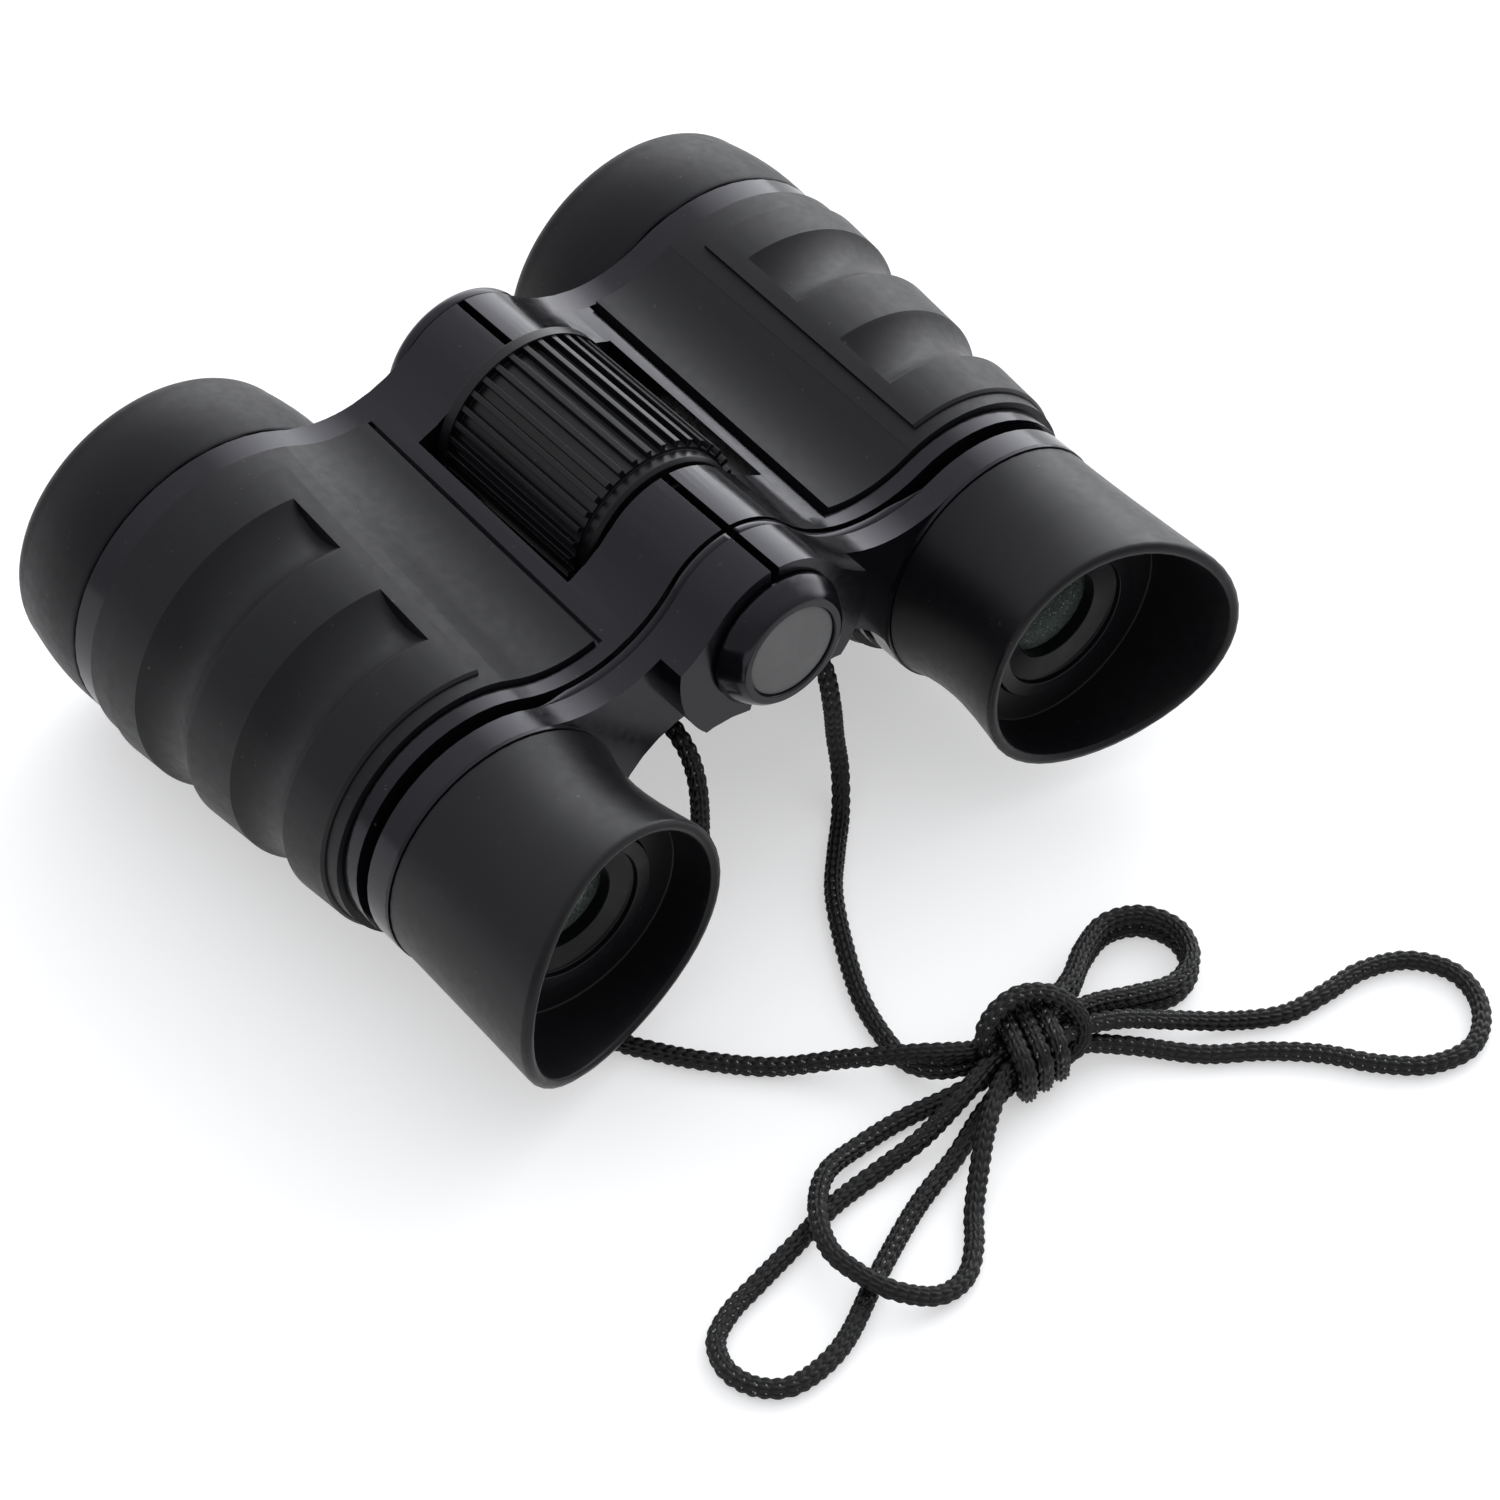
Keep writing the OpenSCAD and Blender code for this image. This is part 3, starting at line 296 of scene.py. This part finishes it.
LOOP_ROUTE = [
    (-4.5, -58.9, 4.5), (0, -58.9, 4.5), (4.5, -58.9, 4.5), (8.6, -57.6, 4), (12.6, -55.1, 3.3),
    (17, -53.6, 2.8), (20.6, -55.1, 2.8), (22.1, -58.7, 2.8), (20.6, -62.3, 2.8), (17, -63.8, 2.9),
    (12.5, -62.8, 3.5), (8.5, -61.5, 4.1), (4.5, -61, 4.5), (0, -61, 4.5), (-4.5, -61, 4.5),
    (-9, -62, 3.9), (-14.5, -62.4, 2), (-20, -62.2, 0.9), (-26, -62.6, 0.8), (-32, -64, 0.8),
    (-37.4, -65.2, 0.8), (-41.5, -66.2, 0.8), (-44.6, -68, 0.8), (-45.8, -71.3, 0.8), (-44.6, -74.6, 0.8),
    (-41.5, -76.4, 0.8), (-35.6, -75.6, 0.8), (-28, -71.6, 0.8), (-20, -67.8, 0.8), (-13, -65.5, 0.9),
    (-8.5, -63.9, 1.8), (-4.5, -63.1, 2.5), (0, -63.2, 2.5), (4.2, -63.3, 2.5), (9, -66.3, 1.5),
    (14, -71, 0.8), (19, -74.6, 0.8), (23.2, -78.4, 0.8), (26.6, -82.8, 0.8), (30.6, -86.2, 0.8),
    (35.6, -87, 0.8), (39.6, -84, 0.8), (40.8, -79.4, 0.8), (38.4, -75.2, 0.8), (33.8, -73.2, 0.8),
    (28.6, -73, 0.8), (23.8, -72.4, 0.8), (19, -69.8, 1), (14, -67, 2.3), (9, -64.5, 3.9),
    (4.5, -63.1, 4.5), (0, -63.1, 4.5), (-4.5, -63.1, 4.5), (-9.4, -65.9, 3.7), (-13.4, -69.2, 1.9),
    (-16.2, -71.8, 0.9), (-18.8, -74.8, 0.8), (-21.8, -77, 0.8), (-25.4, -77.2, 1.3), (-28.6, -75, 2.4),
    (-30.2, -71.6, 2.9), (-30.4, -67.4, 2.7), (-28.4, -63.2, 2.9), (-24.6, -60, 2.3), (-19.6, -58.8, 1.1),
    (-14, -58.8, 0.9), (-9, -60.2, 1.8), (-4.5, -61, 2.5), (0, -61, 2.5), (4.5, -61, 2.5), (8.5, -61.5, 2),
    (12.5, -62.8, 1.4), (17, -63.8, 0.9), (20.6, -62.3, 0.8), (22.1, -58.7, 0.8), (20.6, -55.1, 0.8),
    (17, -53.6, 0.8), (12.6, -55.1, 1.3), (8.6, -57.6, 1.9), (4.5, -58.9, 2.5), (0, -58.9, 2.5),
    (-4.5, -58.9, 2.5),
]


def smooth_line(route, step):
    """Points at even steps on a smooth line through a route's points, and its length."""
    route = np.array(route, float)
    before = np.vstack([route[:1], route[:-2]])
    after = np.vstack([route[2:], route[-1:]])
    share = np.arange(0, 1, 0.02)[:, None]
    pieces = [
        b
        + (
            share * (c - a)
            + share**2 * (2 * a - 5 * b + 4 * c - d)
            + share**3 * (3 * b - a - 3 * c + d)
        )
        / 2
        for a, b, c, d in zip(before, route[:-1], route[1:], after)
    ]
    fine = np.vstack([*pieces, route[-1:]])
    along = np.concatenate([[0], np.cumsum(np.linalg.norm(np.diff(fine, axis=0), axis=1))])
    even = np.linspace(0, along[-1], max(2, round(along[-1] / step)) + 1)
    return np.stack([np.interp(even, along, fine[:, k]) for k in range(3)], axis=1), along[-1]


def cross_directions(line):
    """Two directions across a line at each of its points, carried along without twist."""
    ahead = np.gradient(line, axis=0)
    ahead /= np.linalg.norm(ahead, axis=1)[:, None]
    start = np.array((1.0, 0, 0)) if abs(ahead[0][0]) < 0.9 else np.array((0, 0, 1.0))
    side = [start]
    for way in ahead:
        turned = side[-1] - (side[-1] @ way) * way
        side.append(turned / np.linalg.norm(turned))
    side = np.array(side[1:])
    return side, np.cross(ahead, side)


def add_mesh(name, points, faces, material):
    """A mesh in the row frame from points in millimetres."""
    mesh = bpy.data.meshes.new(name)
    mesh.from_pydata([tuple(p) for p in np.asarray(points) * MM], [], faces)
    mesh.polygons.foreach_set("use_smooth", [True] * len(mesh.polygons))
    mesh.materials.append(material)
    piece = bpy.data.objects.new(name, mesh)
    bpy.context.scene.collection.objects.link(piece)
    return piece


def rings_to_faces(rings, count):
    """Faces of a tube of rings with count points each, closed at both ends."""
    faces = []
    for k in range(rings - 1):
        a, b = k * count, (k + 1) * count
        faces += [(a + i, a + (i + 1) % count, b + (i + 1) % count, b + i) for i in range(count)]
    faces.append(tuple(range(count - 1, -1, -1)))
    faces.append(tuple(range((rings - 1) * count, rings * count)))
    return faces


# Knitted cord: a sheath of V stitches in columns, proud of the CAD source's plain core
SHEATH_D = 2.05
SHEATH_LIFT = 0.29
KNIT_COLUMNS = 6
KNIT_PITCH = 1.1
KNIT_SLANT = 0.7
KNIT_DEPTH = 0.38
KNIT_SIDES = 48
KNIT_STEP = 0.11
TAB_END_Y = -16.0
LIFT_FADE = 4.0
TAB_FADE = 2.0
# Least height of a stitch at its column's edges, and the share of a column that its legs leave free
LEG_LOW = 0.2
LEG_EDGE = 0.06
# Pinholes open where the knit is low at the column edges; they get painted light
PINHOLE_LEVEL = 0.12
PINHOLE_FADE = 1.6
PINHOLE_EDGE = 0.75
# Waves along the cord as size, rate and start: the stitches' drift, and how far the knit opens
KNIT_DRIFT = ((0.12, 0.37, 0), (0.1, 1.13, 1))
KNIT_OPEN = ((1.4, 0.21, 0), (1.2, 0.093, 2))


def waves(along, parts):
    return sum(size * np.sin(along * rate + start) for size, rate, start in parts)


def lifted(line):
    """The line with room under it for the sheath, from the strap tab on."""
    share = np.clip((TAB_END_Y - line[:, 1]) / LIFT_FADE, 0, 1)
    return line + np.stack([0 * share, 0 * share, SHEATH_LIFT * share], axis=1)


def knitted_tube(name, line):
    """A cord along a line, knitted in columns of slanted stitches."""
    side, up = cross_directions(line)
    along = np.arange(len(line)) * np.linalg.norm(line[1] - line[0])
    angle = np.linspace(0, 2 * np.pi, KNIT_SIDES, endpoint=False)
    column = angle / (2 * np.pi) * KNIT_COLUMNS
    across = np.abs((column % 1) * 2 - 1)
    rows = along / KNIT_PITCH + waves(along, KNIT_DRIFT)
    stitch = ((rows[:, None] + KNIT_SLANT * across[None]) % 1) - 0.5
    yarn = np.sqrt(np.clip(1 - (stitch / 0.5) ** 2, 0, 1))
    leg = np.sin(np.pi * (LEG_EDGE + (1 - 2 * LEG_EDGE) * across))[None]
    height = yarn * (LEG_LOW + (1 - LEG_LOW) * leg)
    in_tab = np.clip((line[:, 1] - TAB_END_Y) / TAB_FADE, 0, 1)
    radius = SHEATH_D / 2 - KNIT_DEPTH * (1 - height) - (SHEATH_D - CORD_D) / 2 * in_tab[:, None]
    spread = np.cos(angle)[None, :, None] * side[:, None] + np.sin(angle)[None, :, None] * up[:, None]
    points = (line[:, None] + radius[..., None] * spread).reshape(-1, 3)
    tube = add_mesh(name, points, rings_to_faces(len(line), KNIT_SIDES), cord_black)
    # Mask of the open pinholes, which get pale painted light
    open_knit = np.clip(waves(along, KNIT_OPEN), 0, 1)[:, None]
    low = np.clip(PINHOLE_FADE - height / PINHOLE_LEVEL, 0, 1)
    pinhole_light = low * (across[None] > PINHOLE_EDGE) * open_knit
    for label, values in (("knit", height), ("pinhole_light", pinhole_light)):
        shade = tube.data.attributes.new(label, "FLOAT", "POINT")
        shade.data.foreach_set("value", values.astype(np.float32).ravel())
    return tube


# The darker yarn tone is painted shade between the stitches
YARN_PAINTED_SHADE = (0.0004, 0.0004, 0.0004)
YARN_LIGHT = (0.006, 0.006, 0.006)
# Pale painted light in the pinholes
PINHOLE_PAINTED_LIGHT = (0.75, 0.75, 0.75)
YARN_SHINE = 0.28


def cord_material():
    """Black yarn with painted shade between the stitches and pale painted light in the pinholes where the
    knit opens.
    """
    material, tree, shader = new_material("cord_black")
    height = tree.nodes.new("ShaderNodeAttribute")
    height.attribute_name = "knit"
    # Painted shade: the yarn darkens where the knit is low
    tone = ramp(tree, height.outputs["Fac"], 0.15, 0.95, 0, 1)
    yarn = tinted(tree, shader, tone, YARN_PAINTED_SHADE, YARN_LIGHT)
    # Painted light in the pinholes where the knit opens
    pinhole_light = tree.nodes.new("ShaderNodeAttribute")
    pinhole_light.attribute_name = "pinhole_light"
    spotted(tree, shader, yarn, pinhole_light.outputs["Fac"], PINHOLE_PAINTED_LIGHT)
    tree.links.new(ramp(tree, noise(tree, 3000, 2), 0.3, 0.7, 0.36, 0.5), shader.inputs["Roughness"])
    shader.inputs["Specular IOR Level"].default_value = YARN_SHINE
    bump(tree, shader, noise(tree, 7000, 2), 2e-5)
    return material


cord_black = cord_material()

main_line, main_length = smooth_line(LEFT_ROUTE + LOOP_ROUTE[1:], KNIT_STEP)
main_line = lifted(main_line)
main_cord = knitted_tube("neck_cord", main_line)
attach(main_cord, "left_half")
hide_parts("left_cord_lead", "cord_loops")

right_line, right_length = smooth_line(RIGHT_ROUTE, KNIT_STEP)
right_line = lifted(right_line)
right_cord = knitted_tube("neck_cord_right", right_line)
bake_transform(right_cord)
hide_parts("right_cord_lead")

# Knot: leaning turns of the cord round the bundle of strands, and one strand arched over them
KNOT_MID = np.array((0, -61, 3.9))
KNOT_HALF_Y = 3.8
KNOT_HALF_Z = 2.85
KNOT_TURNS = 3
KNOT_PITCH = 2.1
KNOT_SHEAR = 0.45
KNOT_SQUARE = 0.6
OVER_ROUTE = [
    (-2.4, -60.6, 4.4), (-4.2, -60, 5.6), (-4, -59.2, 7.4), (-1.8, -58.7, 8.6), (0.8, -58.9, 8.9),
    (3.2, -60.2, 8.4), (4.8, -62, 6.8), (4.9, -63.6, 4.8), (3.4, -64, 3.2), (1.4, -63.4, 2.8),
]


def rounded(value):
    return np.sign(value) * np.abs(value) ** KNOT_SQUARE


def knot_line():
    share = np.linspace(0, 1, 36 * KNOT_TURNS + 1)
    turn = 2 * np.pi * KNOT_TURNS * share - np.pi / 2
    y = KNOT_HALF_Y * rounded(np.cos(turn))
    x = KNOT_PITCH * KNOT_TURNS * (share - 0.5) + KNOT_SHEAR * y
    return KNOT_MID + np.stack([x, y, KNOT_HALF_Z * rounded(np.sin(turn))], axis=1)


knot_points, _ = smooth_line(knot_line()[::2], KNIT_STEP)
knot = knitted_tube("cord_knot_turns", knot_points)
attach(knot, "left_half")
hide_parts("cord_knot")

over_points, _ = smooth_line(OVER_ROUTE, KNIT_STEP)
over = knitted_tube("cord_over_strand", over_points)
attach(over, "left_half")


STOP_AT = (9.2, -9.5, 19.6)
STOP_R = 0.8
STOP_REACH = 0.85
STOP_TURN = 3.2 * np.pi


def stop_knot(name, side, body, node):
    """A small turned knot that keeps a lead in its strap tab."""
    turn = np.linspace(0, STOP_TURN, 40)
    centre = np.array((side * STOP_AT[0], *STOP_AT[1:]))
    reach = np.linspace(-STOP_REACH, STOP_REACH, len(turn))
    line = centre + np.stack([STOP_R * np.cos(turn), reach, STOP_R * np.sin(turn)], axis=1)
    points, _ = smooth_line(line[::3], KNIT_STEP)
    piece = knitted_tube(name, points)
    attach(piece, body)
    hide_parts(node)
    return piece


left_stop = stop_knot("left_stop_turns", -1, "left_half", "left_stop_knot")
right_stop = stop_knot("right_stop_turns", 1, "right_half", "right_stop_knot")


# Bridge halves: a lip that narrows the seam over the web
BRIDGE_R = 14.1
TOP_GAP = 1.0
LIP_REAR_Y = -16.0
LIP_LEN = 1.1
LIP_DEPTH = 1.2
LIP_ROUND = 0.18
LIP_FADE = 5.0
LIP_LEAST = 0.12
LIP_SINK = 0.03


def web_top(count):
    """Points of the bridge's top line from the hinge to a barrel, and the directions out of it."""
    axis = np.array((AXIS_X, -AXIS_DROP))
    far = np.linalg.norm(axis)
    near_r, far_r = LUG_R + VALLEY_R, BRIDGE_R + VALLEY_R
    along = (far**2 + near_r**2 - far_r**2) / (2 * far)
    ahead = axis / far
    valley = along * ahead + math.sqrt(near_r**2 - along**2) * np.array((-ahead[1], ahead[0]))
    lug_side = math.atan2(valley[1], valley[0])
    barrel_side = math.atan2(valley[1] + AXIS_DROP, valley[0] - AXIS_X)
    lug = np.linspace(math.pi / 2 - math.asin(TOP_GAP / 2 / LUG_R), lug_side, count)
    dip = np.linspace(lug_side + math.pi, barrel_side + math.pi, count)[1:]
    out = np.vstack([np.stack([np.cos(lug), np.sin(lug)], 1), -np.stack([np.cos(dip), np.sin(dip)], 1)])
    line = np.vstack([LUG_R * out[:count], valley - VALLEY_R * out[count:]])
    return line, out


def bridge_piece(name, side, body, rings, count):
    """A smooth glossy loft on one half of the bridge, from points of the right half."""
    faces = rings_to_faces(len(rings) // count, count)
    if side > 0:
        faces = [face[::-1] for face in faces]
    piece = add_mesh(name, [(side * x, y, HINGE_Z + z) for x, y, z in rings], faces, gloss_shell)
    normals = piece.modifiers.new("normals", "WEIGHTED_NORMAL")
    normals.keep_sharp = False
    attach(piece, body)


def bridge_lip(name, side, body):
    """A lip along the bridge's top line, which fades towards the barrel."""
    line, out = web_top(24)
    along = np.concatenate([[0], np.cumsum(np.linalg.norm(np.diff(line, axis=0), axis=1))])
    reach = LIP_LEN * np.clip((along[-1] - along) / LIP_FADE, LIP_LEAST, 1)
    section = [(0, 0), (1, 0), (1, LIP_ROUND), (1, LIP_DEPTH), (0, LIP_DEPTH)]
    rings = []
    for (x, z), (out_x, out_z), length in zip(line, out, reach):
        for k, (share, depth) in enumerate(section):
            ahead = length * share - (LIP_ROUND if k == 1 else 0)
            inward = depth + LIP_SINK
            rings.append((x - out_x * inward, LIP_REAR_Y + ahead, z - out_z * inward))
    bridge_piece(name, side, body, rings, len(section))


for side, half in ((-1, "left"), (1, "right")):
    bridge_lip(half + "_bridge_lip", side, half + "_carriage")

# Rear disc: slightly domed, with a rounded rim, inside the CAD disc's box
DISC_DOME = 0.3
DISC_RIM = 0.12
DISC_SIDES = 96
DISC_RINGS = (0.02, 0.25, 0.5, 0.75, 0.9, 0.97)


def domed_disc():
    low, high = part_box("rear_cap_disc")
    centre = (np.array(low) + np.array(high)) / 2 / MM
    reach = (high.x - low.x) / 2 / MM
    rear, front = low.y / MM, high.y / MM
    angle = np.linspace(0, 2 * np.pi, DISC_SIDES, endpoint=False)
    rim = rear + DISC_DOME
    profile = [(reach * share, rear + DISC_DOME * share**2) for share in DISC_RINGS]
    profile.append((reach - DISC_RIM / 3, rim + DISC_RIM / 3))
    profile.append((reach, rim + DISC_RIM))
    profile.append((reach, front))
    points = [
        (centre[0] + r * math.cos(a), y, centre[2] + r * math.sin(a)) for r, y in profile for a in angle
    ]
    faces = [face[::-1] for face in rings_to_faces(len(profile), DISC_SIDES)]
    disc = add_mesh("rear_grain_disc", points, faces, grained_grey)
    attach(disc, "left_carriage")
    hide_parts("rear_cap_disc")


domed_disc()

# CAD pieces keep their shape: joined vertices, a fine edge break and smooth shading
EDGE_BREAK = {
    "gloss_shell": 0.16,
    "soft_grip": 0.3,
    "eyecup_rubber": 0.3,
    "satin_black": 0.1,
    "grained_grey": 0.1,
    "steel": 0.1,
    "lens": 0.05,
    "cord": 0.1,
}


WELD_REACH = 0.025
FLAT_ANGLE = 0.6
EDGE_ANGLE = 32

# The hoods have a duller skin than the armour
HOODS = ("left_hood", "right_hood")


def dress(name):
    piece = frame["nodes"][name]
    finish = SLOT_OF[name]
    piece.data.materials.clear()
    piece.data.materials.append(hood_grip if name in HOODS else FINISHES[finish])
    piece.data.polygons.foreach_set("use_smooth", [True] * len(piece.data.polygons))
    weld = piece.modifiers.new("weld", "WELD")
    weld.merge_threshold = WELD_REACH * MM
    flats = piece.modifiers.new("flats", "DECIMATE")
    flats.decimate_type = "DISSOLVE"
    flats.angle_limit = math.radians(FLAT_ANGLE)
    edge = piece.modifiers.new("edge", "BEVEL")
    edge.width = EDGE_BREAK[finish] * MM
    edge.segments = 2
    edge.limit_method = "ANGLE"
    edge.angle_limit = math.radians(EDGE_ANGLE)
    edge.use_clamp_overlap = True
    normals = piece.modifiers.new("normals", "WEIGHTED_NORMAL")
    normals.keep_sharp = False


for name in frame["nodes"]:
    dress(name)


# Pale floor, in metres
FLOOR_HALF = 3.0
FLOOR_DARK = (0.62, 0.62, 0.62)
FLOOR_LIGHT = (0.64, 0.64, 0.64)
FLOOR_GLOW = 0.45


def build_floor():
    mesh = bpy.data.meshes.new("floor")
    corners = [(x * FLOOR_HALF, y * FLOOR_HALF, 0) for x, y in ((-1, -1), (1, -1), (1, 1), (-1, 1))]
    mesh.from_pydata(corners, [], [(0, 1, 2, 3)])
    floor = bpy.data.objects.new("floor", mesh)
    bpy.context.scene.collection.objects.link(floor)
    material, tree, shader = new_material("floor")
    tinted(tree, shader, noise(tree, 3, 2), FLOOR_DARK, FLOOR_LIGHT)
    shader.inputs["Roughness"].default_value = 0.8
    shader.inputs["Emission Color"].default_value = (1, 1, 1, 1)
    shader.inputs["Emission Strength"].default_value = FLOOR_GLOW
    shader.inputs["Specular IOR Level"].default_value = 0.1
    mesh.materials.append(material)


# Light tent: brightest above the front right, dim behind on the left, with one large soft window
# low on the right
TENT_FROM = Vector((0.5, 0.55, 0.67)).normalized()
TENT_DIM = 0.55
TENT_BRIGHT = 1.3
WINDOW_FROM = Vector((0.9, 0.42, 0.1)).normalized()
WINDOW_BRIGHT = 3.0
TENT_EDGES = (-0.3, 0.9)
WINDOW_EDGES = (0.55, 0.95)
LIGHT_TINT = (0.96, 0.97, 1, 1)


def towards(tree, place, way):
    """How far a direction points a given way, from -1 to 1."""
    facing = tree.nodes.new("ShaderNodeVectorMath")
    facing.operation = "DOT_PRODUCT"
    facing.inputs[1].default_value = way
    tree.links.new(place.outputs["Generated"], facing.inputs[0])
    return facing.outputs["Value"]


def build_light():
    world = bpy.data.worlds.new("studio")
    bpy.context.scene.world = world
    world.use_nodes = True
    tree = world.node_tree
    background = tree.nodes["Background"]
    background.inputs["Color"].default_value = LIGHT_TINT
    place = tree.nodes.new("ShaderNodeTexCoord")
    tent = ramp(tree, towards(tree, place, TENT_FROM), *TENT_EDGES, TENT_DIM, TENT_BRIGHT)
    window = ramp(tree, towards(tree, place, WINDOW_FROM), *WINDOW_EDGES, 0, WINDOW_BRIGHT)
    both = tree.nodes.new("ShaderNodeMath")
    both.operation = "ADD"
    tree.links.new(tent, both.inputs[0])
    tree.links.new(window, both.inputs[1])
    tree.links.new(both.outputs[0], background.inputs["Strength"])
    bpy.context.scene.view_settings.view_transform = "Standard"


build_floor()
build_light()
